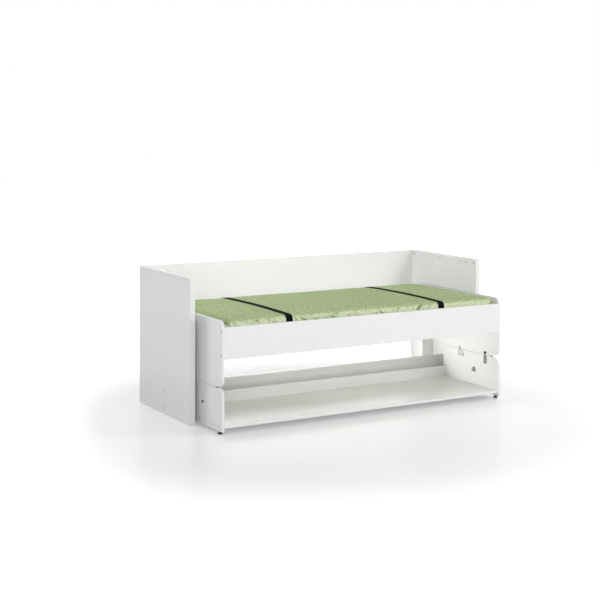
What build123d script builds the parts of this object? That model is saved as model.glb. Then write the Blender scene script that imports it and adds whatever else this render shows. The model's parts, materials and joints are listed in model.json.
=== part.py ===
"""Multifunction bed: a low cabinet with a fold-up single bed and a desk that stays level under it.

Units are millimetres. X runs along the bed, Y to the back and Z up. The origin is on the floor at
the middle of the overall footprint. Places across the bed are given as depths behind the plane of
the front board, and behind() turns such a depth into Y.
"""

import os
from math import atan2, degrees, hypot

from build123d import *

os.makedirs("parts", exist_ok=True)

# Cabinet
cabinet_length = 2166.0
cabinet_height = 885.0
front_reach = 300.0
end_thickness = 35.0
back_thickness = 18.0
back_height = 381.0
stretcher_thickness = 18.0
stretcher_height = 186.0
stretcher_gap = 70.0
block_step = 2.0
upright_width = 92.0
upright_thickness = 18.0
upright_height = 290.0
upright_gap = 103.0
strip_height = 42.0
strip_thickness = 4.0
strip_drop = 3.0
strip_inset = 6.0
strip_corner = 5.0
strip_chamfer = 14.0

# Bed frame
module_gap = 30.0
board = 16.0
slide_clearance = 0.5
bed_depth = 936.0
rear_overhang = 76.0
swing_clearance = 4.0
bed_top = 662.0
front_board_drop = 37.0
front_board_height = 188.0
seam_height = 266.0
seam_gap = 2.0
notch_radius = 52.0
notch_reach = 100.0
notch_rise = 16.0
notch_ease = 150.0
bed_notch_radius = 42.0
buffer_diameter = 5.0
buffer_play = 0.2
heel_gap = 2.0
heel_radius = 70.0
heel_corner = 30.0
rear_corner = 30.0
edge_round = 1.2
end_round = 2.5

# Slatted base and mattress
base_rise = 51.0
bearer_width = 30.0
bearer_height = 40.0
bearer_play = 20.0
beam_width = 36.0
slat_width = 70.0
slat_thickness = 14.0
slat_count = 12
slat_margin = 60.0
slat_play = 2.0
mattress_height = 120.0
mattress_play = 2.0
mattress_end_play = 5.0
mattress_crown = 9.0
crown_fall_share = 0.4
mattress_draw = 6.0
mattress_corner = 26.0
mattress_foot_corner = 14.0
mattress_end_length = 58.0
soft_clearance = 0.3

# Straps over the mattress
strap_width = 46.0
strap_thickness = 1.8
strap_place = 558.0
strap_clearance = 0.4
fold_height = 26.0

# Desk
desk_depth = 605.0
foot_height = 16.0
desk_underside = 37.0
upstand_height = 70.0
desk_corner = 6.0
hinge_corner = 40.0

# Bed pivots
bed_pivot_height = 610.0
pin_diameter = 20.0
boss_diameter = 36.0
plate_thickness = 4.0
plate_height = 80.0
plate_width = 90.0
plate_corner = 12.0
plate_screw_edge = 14.0
running_clearance = 0.05
face_clearance = 0.3
bush_wall = 3.0
bush_flange = 2.0
bush_flange_diameter = 44.0

# Hinges between the bed ends and the desk ends
hinge_plate_width = 44.0
hinge_plate_reach = 115.0
hinge_shoulder = 14.0
hinge_head = 24.0
hinge_head_height = 3.5
hinge_shank = 8.0
hinge_shank_length = 12.0

# Level arms
arm_width = 36.0
arm_thickness = 6.0
arm_lane = 10.0
arm_pin = 12.0
arm_boss = 22.0
arm_plate_height = 70.0
arm_plate_width = 50.0
rivet_head = 18.0
rivet_height = 1.5
level_bolt_depth = 405.0
level_bolt_height = 118.0
level_bolt_grip = 12.0
open_pivot_clearance = 0.3
bolt_head = 20.0
bolt_head_height = 3.5
knob_depth = 258.0
knob_rise = 152.0
knob_bolt = 10.0
knob_bolt_head = 18.0
knob_bolt_head_height = 4.0
knob_diameter = 34.0
knob_height = 10.0
knob_wall = 3.0
knob_groove = 16.0
knob_groove_count = 3
knob_turn = 30.0

# Guides, catches and feet
guide_depth = 432.0
guide_width = 68.0
guide_height = 67.0
guide_drop = 43.0
guide_top_back = 8.0
guide_thickness = 3.0
guide_standoff = 1.0
guide_corner = 2.5
guide_rim = 7.0
catch_depth = 136.0
catch_width = 21.0
catch_height = 50.0
catch_thickness = 8.0
catch_drop = 4.0
catch_socket = 20.0
stud_rise = 16.0
stud_diameter = 16.0
stud_pin = 6.0
stud_hole = 8.0
stud_reach = 7.0
foot_diameter = 28.0
foot_base = 10.0
foot_round = 2.0
foot_neck = 14.0
foot_stem = 8.0
foot_stem_length = 12.0
foot_front_depth = 40.0
foot_rear_inset = 45.0

# Fasteners
screw_head = 10.0
screw_head_height = 2.0
screw_shank = 7.0
screw_bite = 45.0
screw_play = 0.1
socket_width = 5.0
socket_depth = 3.0
small_head = 8.0
small_head_height = 2.2
small_shank = 4.0
small_length = 16.0
board_screw_edge = 23.0
desk_screw_front = 50.0
desk_screw_pitch = 60.0
stretcher_screw_edge = 38.0
back_screw_edge = 59.0
overrun = 5.0

# Places worked out from the sizes above
half_cabinet = cabinet_length / 2
inner_x = half_cabinet - end_thickness
desk_outer_x = inner_x - module_gap
desk_inner_x = desk_outer_x - board
bed_outer_x = desk_outer_x + slide_clearance
bed_inner_x = bed_outer_x - board
front_board_top = bed_top - front_board_drop
front_board_foot = front_board_top - front_board_height
bed_pivot_depth = bed_depth - rear_overhang
rear_swing = hypot(rear_overhang, bed_pivot_height - front_board_foot)
total_depth = bed_pivot_depth + rear_swing + swing_clearance + back_thickness
cabinet_depth = total_depth - front_reach
bearer_foot = front_board_foot + base_rise
slat_foot = bearer_foot + bearer_height
mattress_foot = slat_foot + slat_thickness + soft_clearance
mattress_rim = mattress_foot + mattress_height
frame_rear = bed_depth - board
desk_top = desk_underside + board
desk_seam = seam_height - seam_gap / 2
bed_seam = seam_height + seam_gap / 2
stretcher_depth = desk_depth + stretcher_gap
upright_depth = stretcher_depth + stretcher_thickness + upright_gap
heel_depth = desk_depth + heel_gap
hinge_depth = desk_depth - hinge_corner
hinge_height = desk_seam - hinge_corner
arm_pivot_depth = bed_pivot_depth + level_bolt_depth - hinge_depth
arm_pivot_height = bed_pivot_height + level_bolt_height - hinge_height
plate_face_x = inner_x - plate_thickness
bush_face_x = bed_outer_x + bush_flange
arm_inner_x = desk_outer_x + arm_lane
arm_outer_x = arm_inner_x + arm_thickness
bush_diameter = pin_diameter + 2 * (running_clearance + bush_wall)


def behind(depth):
    """Y of a place at this depth behind the plane of the front board."""
    return depth - total_depth / 2


def write(part, name):
    """Labels a finished piece and writes it."""
    part.label = name
    export_step(part, f"parts/{name}.step")


def write_pair(part, name):
    """Writes the right-hand piece, and its mirror image as the left-hand one."""
    write(part, name + "_right")
    write(mirror(part, about=Plane.YZ), name + "_left")


def block(x_low, x_high, depth_low, depth_high, z_low, z_high):
    """A board that fills this box, in the running builder."""
    with BuildSketch(Plane.XY.offset(z_low)) as outline:
        with Locations(((x_low + x_high) / 2, behind((depth_low + depth_high) / 2))):
            Rectangle(x_high - x_low, depth_high - depth_low)
    extrude(outline.sketch, amount=z_high - z_low)


def rod(x_low, x_high, diameter, places, mode=Mode.ADD):
    """Round bars or bores along X at each (depth, height) of places, in the running builder."""
    with BuildSketch(Plane.YZ.offset(x_low)) as circles:
        with Locations(*[(behind(depth), height) for depth, height in places]):
            Circle(diameter / 2)
    extrude(circles.sketch, amount=x_high - x_low, mode=mode)


def drill_shanks(outer_x, length, places):
    """Bores along X for screw shanks that start at this outer face, on both sides."""
    bore = screw_shank + 2 * screw_play
    reach = length + screw_play
    rod(outer_x - reach, outer_x + overrun, bore, places, Mode.SUBTRACT)
    rod(-outer_x - overrun, -outer_x + reach, bore, places, Mode.SUBTRACT)


def drill_heads(outer_x, places):
    """Pockets for screw heads in a right-hand outer face."""
    low = outer_x - screw_head_height - screw_play
    rod(low, outer_x + overrun, screw_head + 2 * screw_play, places, Mode.SUBTRACT)


def long_screws(outer_x, length, places):
    """Right-hand screws along X, with flat socketed heads level with the outer face."""
    rod(outer_x - screw_head_height, outer_x, screw_head, places)
    rod(outer_x - length, outer_x - screw_head_height, screw_shank, places)
    with BuildSketch(Plane.YZ.offset(outer_x)) as sockets:
        with Locations(*[(behind(depth), height) for depth, height in places]):
            RegularPolygon(socket_width / 2, 6)
    extrude(sockets.sketch, amount=-socket_depth, mode=Mode.SUBTRACT)


def small_screws(face_x, places):
    """Right-hand small screws along X, with their heads on this inward face."""
    rod(face_x - small_head_height, face_x, small_head, places)
    rod(face_x, face_x + small_length, small_shank, places)


def drill_small(face_x, places):
    """Bores for small screws that enter this inward face."""
    bore = small_shank + 2 * screw_play
    rod(face_x - overrun, face_x + small_length + screw_play, bore, places, Mode.SUBTRACT)


def soften(builder, axis=Axis.X):
    """Rounds the rims of a board's two broad faces."""
    fillet(builder.faces().filter_by(axis).edges(), edge_round)


def round_corner(face, depth, height, radius):
    """Rounds the corner nearest to this place of a running sketch that faces along X."""
    fillet(face.vertices().sort_by_distance((behind(depth), height))[0], radius)


def cut_corner(face, depth, height, length):
    """Cuts off the corner nearest to this place of a running sketch that faces along X."""
    chamfer(face.vertices().sort_by_distance((behind(depth), height))[0], length)


def grid(depth, height, width, tall, edge):
    """Four (depth, height) places near the corners of a plate."""
    half_width = width / 2 - edge
    half_tall = tall / 2 - edge
    return [
        (depth + side * half_width, height + rise * half_tall)
        for side in (-1, 1)
        for rise in (-1, 1)
    ]


# Screw places, as (depth, height), and screw lengths
stretcher_middle = stretcher_depth + stretcher_thickness / 2
stretcher_screws = [
    (stretcher_middle, stretcher_screw_edge),
    (stretcher_middle, stretcher_height - stretcher_screw_edge),
]
back_middle = total_depth - back_thickness / 2
back_screws = [
    (back_middle, cabinet_height - back_screw_edge),
    (back_middle, cabinet_height - back_height + back_screw_edge),
]
front_board_screws = [
    (board / 2, front_board_foot + board_screw_edge),
    (board / 2, front_board_top - board_screw_edge),
]
rear_rail_screws = [(frame_rear + board / 2, height) for _, height in front_board_screws]
desk_middle = desk_underside + board / 2
desk_board_screws = [
    (desk_screw_front, desk_middle),
    (desk_screw_front + desk_screw_pitch, desk_middle),
    (desk_depth / 2, desk_middle),
    (desk_depth - desk_screw_front, desk_middle),
]
upstand_screws = [(desk_depth - board / 2, desk_top + upstand_height / 2)]
stretcher_screw_length = end_thickness + module_gap + screw_bite
back_screw_length = end_thickness + screw_bite
board_screw_length = board + screw_bite
strip_low = cabinet_height - strip_drop - strip_height
strip_front = front_reach + strip_inset
strip_length = cabinet_depth - back_thickness - 2 * strip_inset
strip_screw_shares = (0.02, 0.12, 0.21, 0.54, 0.955)
strip_screws = [
    (strip_front + share * strip_length, strip_low + strip_height / 2)
    for share in strip_screw_shares
]
bed_plate_screws = grid(bed_pivot_depth, bed_pivot_height, plate_width, plate_height, plate_screw_edge)
arm_plate_screws = grid(
    arm_pivot_depth, arm_pivot_height, arm_plate_width, arm_plate_height, plate_screw_edge * 0.8
)

# Cabinet ends, thick upright panels with softened front and top edges
with BuildPart() as end_panel:
    block(inner_x, half_cabinet, front_reach, total_depth, 0, cabinet_height)
    fillet(end_panel.edges().filter_by(Axis.Z).group_by(Axis.Y)[0], end_round)
    fillet(end_panel.faces().sort_by(Axis.Z)[-1].edges(), edge_round)
    drill_heads(half_cabinet, stretcher_screws + back_screws)
    drill_shanks(half_cabinet, stretcher_screw_length, stretcher_screws + back_screws)
    drill_small(plate_face_x, strip_screws + bed_plate_screws + arm_plate_screws)
write_pair(end_panel.part, "end_panel")

# Back panel between the ends, level with their tops
with BuildPart() as back_panel:
    block(
        -inner_x,
        inner_x,
        total_depth - back_thickness,
        total_depth,
        cabinet_height - back_height,
        cabinet_height,
    )
    fillet(back_panel.edges().filter_by(Axis.X), edge_round)
    drill_shanks(half_cabinet, back_screw_length, back_screws)
write(back_panel.part, "back_panel")

# Stretcher that stands on the floor under the bed
with BuildPart() as stretcher:
    block(
        -desk_outer_x,
        desk_outer_x,
        stretcher_depth,
        stretcher_depth + stretcher_thickness,
        0,
        stretcher_height,
    )
    fillet(stretcher.edges().filter_by(Axis.X), edge_round)
    drill_shanks(half_cabinet, stretcher_screw_length, stretcher_screws)
write(stretcher.part, "stretcher")

# Blocks between the stretcher and the cabinet ends, a little proud of the stretcher
with BuildPart() as stretcher_block:
    block(
        desk_outer_x,
        inner_x,
        stretcher_depth - block_step,
        stretcher_depth + stretcher_thickness,
        0,
        stretcher_height,
    )
    fillet(stretcher_block.edges().filter_by(Axis.Z).group_by(Axis.Y)[0], edge_round)
    drill_shanks(half_cabinet, stretcher_screw_length, stretcher_screws)
write_pair(stretcher_block.part, "stretcher_block")

# Upright boards that stiffen the cabinet ends behind the stretcher
with BuildPart() as inner_upright:
    block(
        inner_x - upright_width,
        inner_x,
        upright_depth,
        upright_depth + upright_thickness,
        0,
        upright_height,
    )
    fillet(inner_upright.edges().filter_by(Axis.Z).group_by(Axis.X)[0], edge_round)
write_pair(inner_upright.part, "inner_upright")

# Steel strips along the tops of the cabinet ends, inside
with BuildPart() as top_strip:
    with BuildSketch(Plane.YZ.offset(plate_face_x)) as strip_face:
        with Locations((behind(strip_front + strip_length / 2), strip_low + strip_height / 2)):
            Rectangle(strip_length, strip_height)
        fillet(strip_face.vertices().group_by(Axis.X)[-1], strip_corner)
        round_corner(strip_face, strip_front, strip_low + strip_height, strip_corner)
        cut_corner(strip_face, strip_front, strip_low, strip_chamfer)
    extrude(amount=strip_thickness)
    drill_small(plate_face_x, strip_screws)
write_pair(top_strip.part, "top_strip")

# Long screws of the cabinet
with BuildPart() as cabinet_screws:
    long_screws(half_cabinet, stretcher_screw_length, stretcher_screws)
    long_screws(half_cabinet, back_screw_length, back_screws)
    mirror(about=Plane.YZ)
write(cabinet_screws.part, "cabinet_screws")

# Small screws that hold the strips and the pivot plates
with BuildPart() as small_screw_set:
    small_screws(plate_face_x, strip_screws + bed_plate_screws + arm_plate_screws)
    mirror(about=Plane.YZ)
write(small_screw_set.part, "plate_screws")

# Bed pivots: a plate on the cabinet end with a boss and the pin that the bed turns on
with BuildPart() as bed_pivot:
    with BuildSketch(Plane.YZ.offset(plate_face_x)):
        with Locations((behind(bed_pivot_depth), bed_pivot_height)):
            RectangleRounded(plate_width, plate_height, plate_corner)
    extrude(amount=plate_thickness)
    rod(bush_face_x + face_clearance, plate_face_x, boss_diameter, [(bed_pivot_depth, bed_pivot_height)])
    rod(
        bed_inner_x + face_clearance,
        bush_face_x + face_clearance,
        pin_diameter,
        [(bed_pivot_depth, bed_pivot_height)],
    )
    drill_small(plate_face_x, bed_plate_screws)
write_pair(bed_pivot.part, "bed_pivot")

# Arm pivots: a smaller plate with a boss, a pin and a riveted head over the arm
with BuildPart() as arm_pivot:
    arm_pivot_place = [(arm_pivot_depth, arm_pivot_height)]
    rivet_face_x = arm_inner_x - face_clearance
    with BuildSketch(Plane.YZ.offset(plate_face_x)):
        with Locations((behind(arm_pivot_depth), arm_pivot_height)):
            RectangleRounded(arm_plate_width, arm_plate_height, plate_corner)
    extrude(amount=plate_thickness)
    rod(arm_outer_x + face_clearance, plate_face_x, arm_boss, arm_pivot_place)
    rod(rivet_face_x, arm_outer_x + face_clearance, arm_pin, arm_pivot_place)
    rod(rivet_face_x - rivet_height, rivet_face_x, rivet_head, arm_pivot_place)
    drill_small(plate_face_x, arm_plate_screws)
write_pair(arm_pivot.part, "arm_pivot")

# Bed ends: long panels, cut away behind the desk ends, with rounded corners
with BuildPart() as bed_end:
    with BuildSketch(Plane.YZ.offset(bed_inner_x)) as bed_end_face:
        with BuildLine():
            Polyline(
                (behind(0), bed_seam + notch_rise),
                (behind(notch_reach), bed_seam),
                (behind(heel_depth), bed_seam),
                (behind(heel_depth), front_board_foot),
                (behind(bed_depth), front_board_foot),
                (behind(bed_depth), bed_top),
                (behind(0), bed_top),
                close=True,
            )
        make_face()
        round_corner(bed_end_face, 0, bed_seam + notch_rise, bed_notch_radius)
        round_corner(bed_end_face, notch_reach, bed_seam, notch_ease)
        round_corner(bed_end_face, 0, bed_top, front_board_drop)
        round_corner(bed_end_face, heel_depth, bed_seam, heel_corner)
        round_corner(bed_end_face, heel_depth, front_board_foot, heel_radius)
        round_corner(bed_end_face, bed_depth, front_board_foot, rear_corner)
        round_corner(bed_end_face, bed_depth, bed_top, rear_corner)
    extrude(amount=board)
    soften(bed_end)
    rod(
        bed_inner_x - overrun,
        bed_outer_x + overrun,
        bush_diameter + 2 * screw_play,
        [(bed_pivot_depth, bed_pivot_height)],
        Mode.SUBTRACT,
    )
    drill_heads(bed_outer_x, front_board_screws + rear_rail_screws)
    drill_shanks(bed_outer_x, board_screw_length, front_board_screws + rear_rail_screws)
write_pair(bed_end.part, "bed_end")

# Front board and rear rail between the bed ends
with BuildPart() as front_board:
    block(-bed_inner_x, bed_inner_x, 0, board, front_board_foot, front_board_top)
    fillet(front_board.edges().filter_by(Axis.X), edge_round)
    drill_shanks(bed_outer_x, board_screw_length, front_board_screws)
write(front_board.part, "front_board")

with BuildPart() as rear_rail:
    block(-bed_inner_x, bed_inner_x, frame_rear, bed_depth, front_board_foot, front_board_top)
    fillet(rear_rail.edges().filter_by(Axis.X), edge_round)
    drill_shanks(bed_outer_x, board_screw_length, rear_rail_screws)
write(rear_rail.part, "rear_rail")

# Bearers on the inside of the front board and the rear rail, and a beam midway
bearer_half = bed_inner_x - bearer_play
with BuildPart() as front_bearer:
    block(-bearer_half, bearer_half, board, board + bearer_width, bearer_foot, slat_foot)
    fillet(front_bearer.edges().filter_by(Axis.X), edge_round)
write(front_bearer.part, "front_bearer")

with BuildPart() as rear_bearer:
    block(-bearer_half, bearer_half, frame_rear - bearer_width, frame_rear, bearer_foot, slat_foot)
    fillet(rear_bearer.edges().filter_by(Axis.X), edge_round)
write(rear_bearer.part, "rear_bearer")

beam_middle = (board + frame_rear) / 2
with BuildPart() as centre_beam:
    block(
        -bed_inner_x,
        bed_inner_x,
        beam_middle - beam_width / 2,
        beam_middle + beam_width / 2,
        bearer_foot,
        slat_foot,
    )
    fillet(centre_beam.edges().filter_by(Axis.X), edge_round)
write(centre_beam.part, "centre_beam")

# Slats across the bearers
slat_span = 2 * (bed_inner_x - slat_margin) - slat_width
slat_pitch = slat_span / (slat_count - 1)
for number in range(slat_count):
    slat_middle = number * slat_pitch - slat_span / 2
    with BuildPart() as slat:
        block(
            slat_middle - slat_width / 2,
            slat_middle + slat_width / 2,
            board + slat_play,
            frame_rear - slat_play,
            slat_foot,
            slat_foot + slat_thickness,
        )
        fillet(slat.edges().filter_by(Axis.Y), edge_round)
    write(slat.part, f"slat_{number + 1:02d}")


def mattress_section(x, inset, growth=0):
    """Mattress section across the bed at this X: flat foot, drawn-in sides and a crowned top."""
    share = min(1.0, abs(x) / mattress_straight)
    draw = mattress_draw * (1 - share**2)
    crown = mattress_crown * (1 - crown_fall_share * share**2)
    low_y = behind(board + mattress_play + draw + inset)
    high_y = behind(frame_rear - mattress_play - draw - inset)
    rim = mattress_rim - inset
    with BuildSketch(Plane.YZ.offset(x)) as section:
        with BuildLine():
            Polyline((low_y, rim), (low_y, mattress_foot), (high_y, mattress_foot), (high_y, rim))
            ThreePointArc((high_y, rim), ((low_y + high_y) / 2, rim + crown), (low_y, rim))
        make_face()
        levels = section.vertices().group_by(Axis.Y)
        fillet(levels[-1], mattress_corner)
        fillet(section.vertices().group_by(Axis.Y)[0], mattress_foot_corner)
        offset(amount=growth)
    return section.sketch


# Mattress: a gently drawn-in middle and two rounded ends
mattress_half = bed_inner_x - mattress_end_play
mattress_straight = mattress_half - mattress_end_length
mattress_stations = (-mattress_straight, -strap_place, 0, strap_place, mattress_straight)
end_shares = ((0.0, 0.0), (0.45, 0.03), (0.8, 0.14), (1.0, 0.36))
with BuildPart() as mattress:
    loft([mattress_section(station, 0) for station in mattress_stations])
    for side in (-1, 1):
        loft(
            [
                mattress_section(
                    side * (mattress_straight + along_share * mattress_end_length),
                    inset_share * mattress_end_length,
                )
                for along_share, inset_share in end_shares
            ]
        )
write(mattress.part, "mattress")

# Straps that follow the mattress over its top, with folded ends against the boards
strap_foot = mattress_foot + mattress_foot_corner
strap_low_x = strap_place - strap_width / 2
strap_high_x = strap_place + strap_width / 2
strap_outside = mattress_section(strap_place, 0, strap_clearance + strap_thickness)
strap_inside = mattress_section(strap_place, 0, strap_clearance)
fold_thickness = strap_outside.bounding_box().min.Y - behind(board)
with BuildPart() as strap:
    add(extrude(strap_outside, amount=strap_width / 2, both=True, mode=Mode.PRIVATE))
    extrude(strap_inside, amount=strap_width, both=True, mode=Mode.SUBTRACT)
    with BuildSketch(Plane.YZ.offset(strap_low_x)):
        with Locations((behind(bed_depth / 2), strap_foot / 2)):
            Rectangle(2 * bed_depth, strap_foot)
    extrude(amount=strap_width, mode=Mode.SUBTRACT)
    block(strap_low_x, strap_high_x, board, board + fold_thickness, strap_foot, strap_foot + fold_height)
    block(
        strap_low_x,
        strap_high_x,
        frame_rear - fold_thickness,
        frame_rear,
        strap_foot,
        strap_foot + fold_height,
    )
write_pair(strap.part, "strap")

# Flanged bushes in the bed ends
with BuildPart() as pivot_bushes:
    bush_place = [(bed_pivot_depth, bed_pivot_height)]
    rod(bed_inner_x + face_clearance, bed_outer_x, bush_diameter, bush_place)
    rod(bed_outer_x, bush_face_x, bush_flange_diameter, bush_place)
    rod(
        bed_inner_x - overrun,
        bush_face_x + overrun,
        pin_diameter + 2 * running_clearance,
        bush_place,
        Mode.SUBTRACT,
    )
    mirror(about=Plane.YZ)
write(pivot_bushes.part, "pivot_bushes")

# Hinge plates on the outside of the bed ends, which reach down over the desk ends
hinge_place = [(hinge_depth, hinge_height)]
with BuildPart() as hinge_plates:
    with BuildSketch(Plane.YZ.offset(bed_outer_x)):
        with Locations((behind(hinge_depth), hinge_height + hinge_plate_reach / 2)):
            SlotCenterToCenter(hinge_plate_reach, hinge_plate_width, rotation=90)
    extrude(amount=plate_thickness)
    rod(
        bed_outer_x - overrun,
        bed_outer_x + plate_thickness + overrun,
        hinge_shoulder + 2 * running_clearance,
        hinge_place,
        Mode.SUBTRACT,
    )
write_pair(hinge_plates.part, "hinge_plate")

# Shoulder bolts in the desk ends, which the hinge plates turn on
hinge_head_x = bed_outer_x + plate_thickness + face_clearance
with BuildPart() as hinge_bolts:
    rod(desk_outer_x - hinge_shank_length, desk_outer_x, hinge_shank, hinge_place)
    rod(desk_outer_x, hinge_head_x, hinge_shoulder, hinge_place)
    rod(hinge_head_x, hinge_head_x + hinge_head_height, hinge_head, hinge_place)
    mirror(about=Plane.YZ)
write(hinge_bolts.part, "hinge_bolts")

# Three-cornered guides on the inside of the bed ends, open in the middle
guide_foot = bed_seam - guide_drop
guide_top = (behind(guide_depth - guide_top_back), guide_foot + guide_height)
guide_outline = [
    (behind(guide_depth), guide_foot),
    guide_top,
    (behind(guide_depth - guide_width), guide_foot),
]
guide_face_x = bed_inner_x - guide_standoff - guide_thickness
with BuildPart() as guide_plates:
    with BuildSketch(Plane.YZ.offset(guide_face_x)) as guide_face:
        with BuildLine():
            Polyline(*guide_outline, close=True)
        make_face()
        offset(amount=-guide_rim, kind=Kind.INTERSECTION, mode=Mode.SUBTRACT)
        fillet(guide_face.vertices(), guide_corner)
    extrude(amount=guide_thickness)
    with BuildSketch(Plane.YZ.offset(bed_inner_x - guide_standoff)):
        with BuildLine():
            Polyline(*guide_outline, close=True)
        make_face()
        offset(amount=-guide_rim, kind=Kind.INTERSECTION, mode=Mode.SUBTRACT)
        with Locations((guide_top[0], bed_seam + seam_gap - guide_height)):
            Rectangle(2 * guide_width, 2 * guide_height, mode=Mode.SUBTRACT)
        with Locations((guide_top[0], guide_top[1])):
            Rectangle(guide_width, 2 * guide_corner, mode=Mode.SUBTRACT)
    extrude(amount=guide_standoff)
    mirror(about=Plane.YZ)
write(guide_plates.part, "guide_plates")

# Catches: a socket block on each desk end and a headed pin on each bed end
catch_top = desk_seam - catch_drop
catch_middle_x = desk_inner_x - catch_thickness / 2
stud_height = bed_seam + stud_rise
with BuildPart() as catch_sockets:
    block(
        desk_inner_x - catch_thickness,
        desk_inner_x,
        catch_depth - catch_width / 2,
        catch_depth + catch_width / 2,
        catch_top - catch_height,
        catch_top,
    )
    fillet(catch_sockets.edges().filter_by(Axis.Z).group_by(Axis.X)[0], edge_round)
    with BuildSketch(Plane.XY.offset(catch_top - catch_socket)):
        with Locations((catch_middle_x, behind(catch_depth))):
            Circle(stud_hole / 2)
    extrude(amount=catch_socket + overrun, mode=Mode.SUBTRACT)
    mirror(about=Plane.YZ)
write(catch_sockets.part, "catch_sockets")

with BuildPart() as catch_studs:
    rod(desk_inner_x - catch_thickness, bed_inner_x, stud_diameter, [(catch_depth, stud_height)])
    with BuildSketch(Plane.XY.offset(catch_top - stud_reach)):
        with Locations((catch_middle_x, behind(catch_depth))):
            Circle(stud_pin / 2)
    extrude(amount=stud_height - catch_top + stud_reach)
    mirror(about=Plane.YZ)
write(catch_studs.part, "catch_studs")

# Long screws of the bed frame
with BuildPart() as bed_screws:
    long_screws(bed_outer_x, board_screw_length, front_board_screws + rear_rail_screws)
    mirror(about=Plane.YZ)
write(bed_screws.part, "bed_screws")

# Desk ends, rounded at the notch and about the hinge
level_bolt_place = [(level_bolt_depth, level_bolt_height)]
knob_place = [(knob_depth, knob_rise)]
knob_bore = knob_bolt + 2 * screw_play
foot_depths = (foot_front_depth, desk_depth - foot_rear_inset)
foot_x = (desk_inner_x + desk_outer_x) / 2
with BuildPart() as desk_end:
    with BuildSketch(Plane.YZ.offset(desk_inner_x)) as desk_end_face:
        with Locations((behind(desk_depth / 2), (foot_height + desk_seam) / 2)):
            Rectangle(desk_depth, desk_seam - foot_height)
        round_corner(desk_end_face, 0, foot_height, desk_corner)
        round_corner(desk_end_face, 0, desk_seam, notch_radius)
        round_corner(desk_end_face, desk_depth, foot_height, desk_corner)
        round_corner(desk_end_face, desk_depth, desk_seam, hinge_corner)
    extrude(amount=board)
    soften(desk_end)
    rod(desk_inner_x - overrun, desk_outer_x + overrun, knob_bore, knob_place, Mode.SUBTRACT)
    rod(
        desk_outer_x - level_bolt_grip - screw_play,
        desk_outer_x + overrun,
        arm_pin + 2 * screw_play,
        level_bolt_place,
        Mode.SUBTRACT,
    )
    rod(
        desk_outer_x - hinge_shank_length - screw_play,
        desk_outer_x + overrun,
        hinge_shank + 2 * screw_play,
        hinge_place,
        Mode.SUBTRACT,
    )
    drill_heads(desk_outer_x, desk_board_screws + upstand_screws)
    drill_shanks(desk_outer_x, board_screw_length, desk_board_screws + upstand_screws)
    with BuildSketch(Plane.XY.offset(foot_height - overrun)):
        with Locations(*[(foot_x, behind(depth)) for depth in foot_depths]):
            Circle(foot_stem / 2 + screw_play)
    extrude(amount=overrun + foot_stem_length + screw_play, mode=Mode.SUBTRACT)
write_pair(desk_end.part, "desk_end")

# Desk board and the upstand along its rear edge
with BuildPart() as desk_board:
    block(-desk_inner_x, desk_inner_x, 0, desk_depth, desk_underside, desk_top)
    fillet(desk_board.edges().filter_by(Axis.X), edge_round)
    drill_shanks(desk_outer_x, board_screw_length, desk_board_screws)
write(desk_board.part, "desk_board")

with BuildPart() as desk_upstand:
    block(
        -desk_inner_x,
        desk_inner_x,
        desk_depth - board,
        desk_depth,
        desk_top,
        desk_top + upstand_height,
    )
    fillet(desk_upstand.edges().filter_by(Axis.X).group_by(Axis.Z)[-1], edge_round)
    drill_shanks(desk_outer_x, board_screw_length, upstand_screws)
write(desk_upstand.part, "desk_upstand")

# Long screws of the desk
with BuildPart() as desk_screws:
    long_screws(desk_outer_x, board_screw_length, desk_board_screws + upstand_screws)
    mirror(about=Plane.YZ)
write(desk_screws.part, "desk_screws")

# Buffers where the corners of the bed ends and the desk ends part
buffer_gap = buffer_diameter + 2 * buffer_play - seam_gap
buffer_depth = notch_reach * (1 - buffer_gap / notch_rise)
buffer_height = desk_seam + buffer_play + buffer_diameter / 2
with BuildPart() as seam_buffers:
    rod(desk_inner_x, desk_outer_x, buffer_diameter, [(buffer_depth, buffer_height)])
    mirror(about=Plane.YZ)
write(seam_buffers.part, "seam_buffers")

# Feet: round bases with a neck and a stem in the desk end
with BuildPart() as desk_feet:
    with BuildSketch() as foot_bases:
        with Locations(*[(foot_x, behind(depth)) for depth in foot_depths]):
            Circle(foot_diameter / 2)
    extrude(amount=foot_base)
    fillet(desk_feet.edges().filter_by(GeomType.CIRCLE).group_by(Axis.Z)[-1], foot_round)
    with BuildSketch(Plane.XY.offset(foot_base)):
        with Locations(*[(foot_x, behind(depth)) for depth in foot_depths]):
            Circle(foot_neck / 2)
    extrude(amount=foot_height - foot_base)
    with BuildSketch(Plane.XY.offset(foot_height)):
        with Locations(*[(foot_x, behind(depth)) for depth in foot_depths]):
            Circle(foot_stem / 2)
    extrude(amount=foot_stem_length)
    mirror(about=Plane.YZ)
write(desk_feet.part, "desk_feet")

# Level arms between the cabinet ends and the desk ends
arm_run_depth = arm_pivot_depth - level_bolt_depth
arm_run_height = arm_pivot_height - level_bolt_height
arm_length = hypot(arm_run_depth, arm_run_height)
arm_middle = (
    behind((arm_pivot_depth + level_bolt_depth) / 2),
    (arm_pivot_height + level_bolt_height) / 2,
)
with BuildPart() as level_arm:
    with BuildSketch(Plane.YZ.offset(arm_inner_x)):
        with Locations(arm_middle):
            SlotCenterToCenter(
                arm_length, arm_width, rotation=degrees(atan2(arm_run_height, arm_run_depth))
            )
    extrude(amount=arm_thickness)
    rod(
        arm_inner_x - overrun,
        arm_outer_x + overrun,
        arm_pin + 2 * running_clearance,
        arm_pivot_place,
        Mode.SUBTRACT,
    )
    rod(
        arm_inner_x - overrun,
        arm_outer_x + overrun,
        arm_pin + 2 * open_pivot_clearance,
        level_bolt_place,
        Mode.SUBTRACT,
    )
write_pair(level_arm.part, "level_arm")

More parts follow.
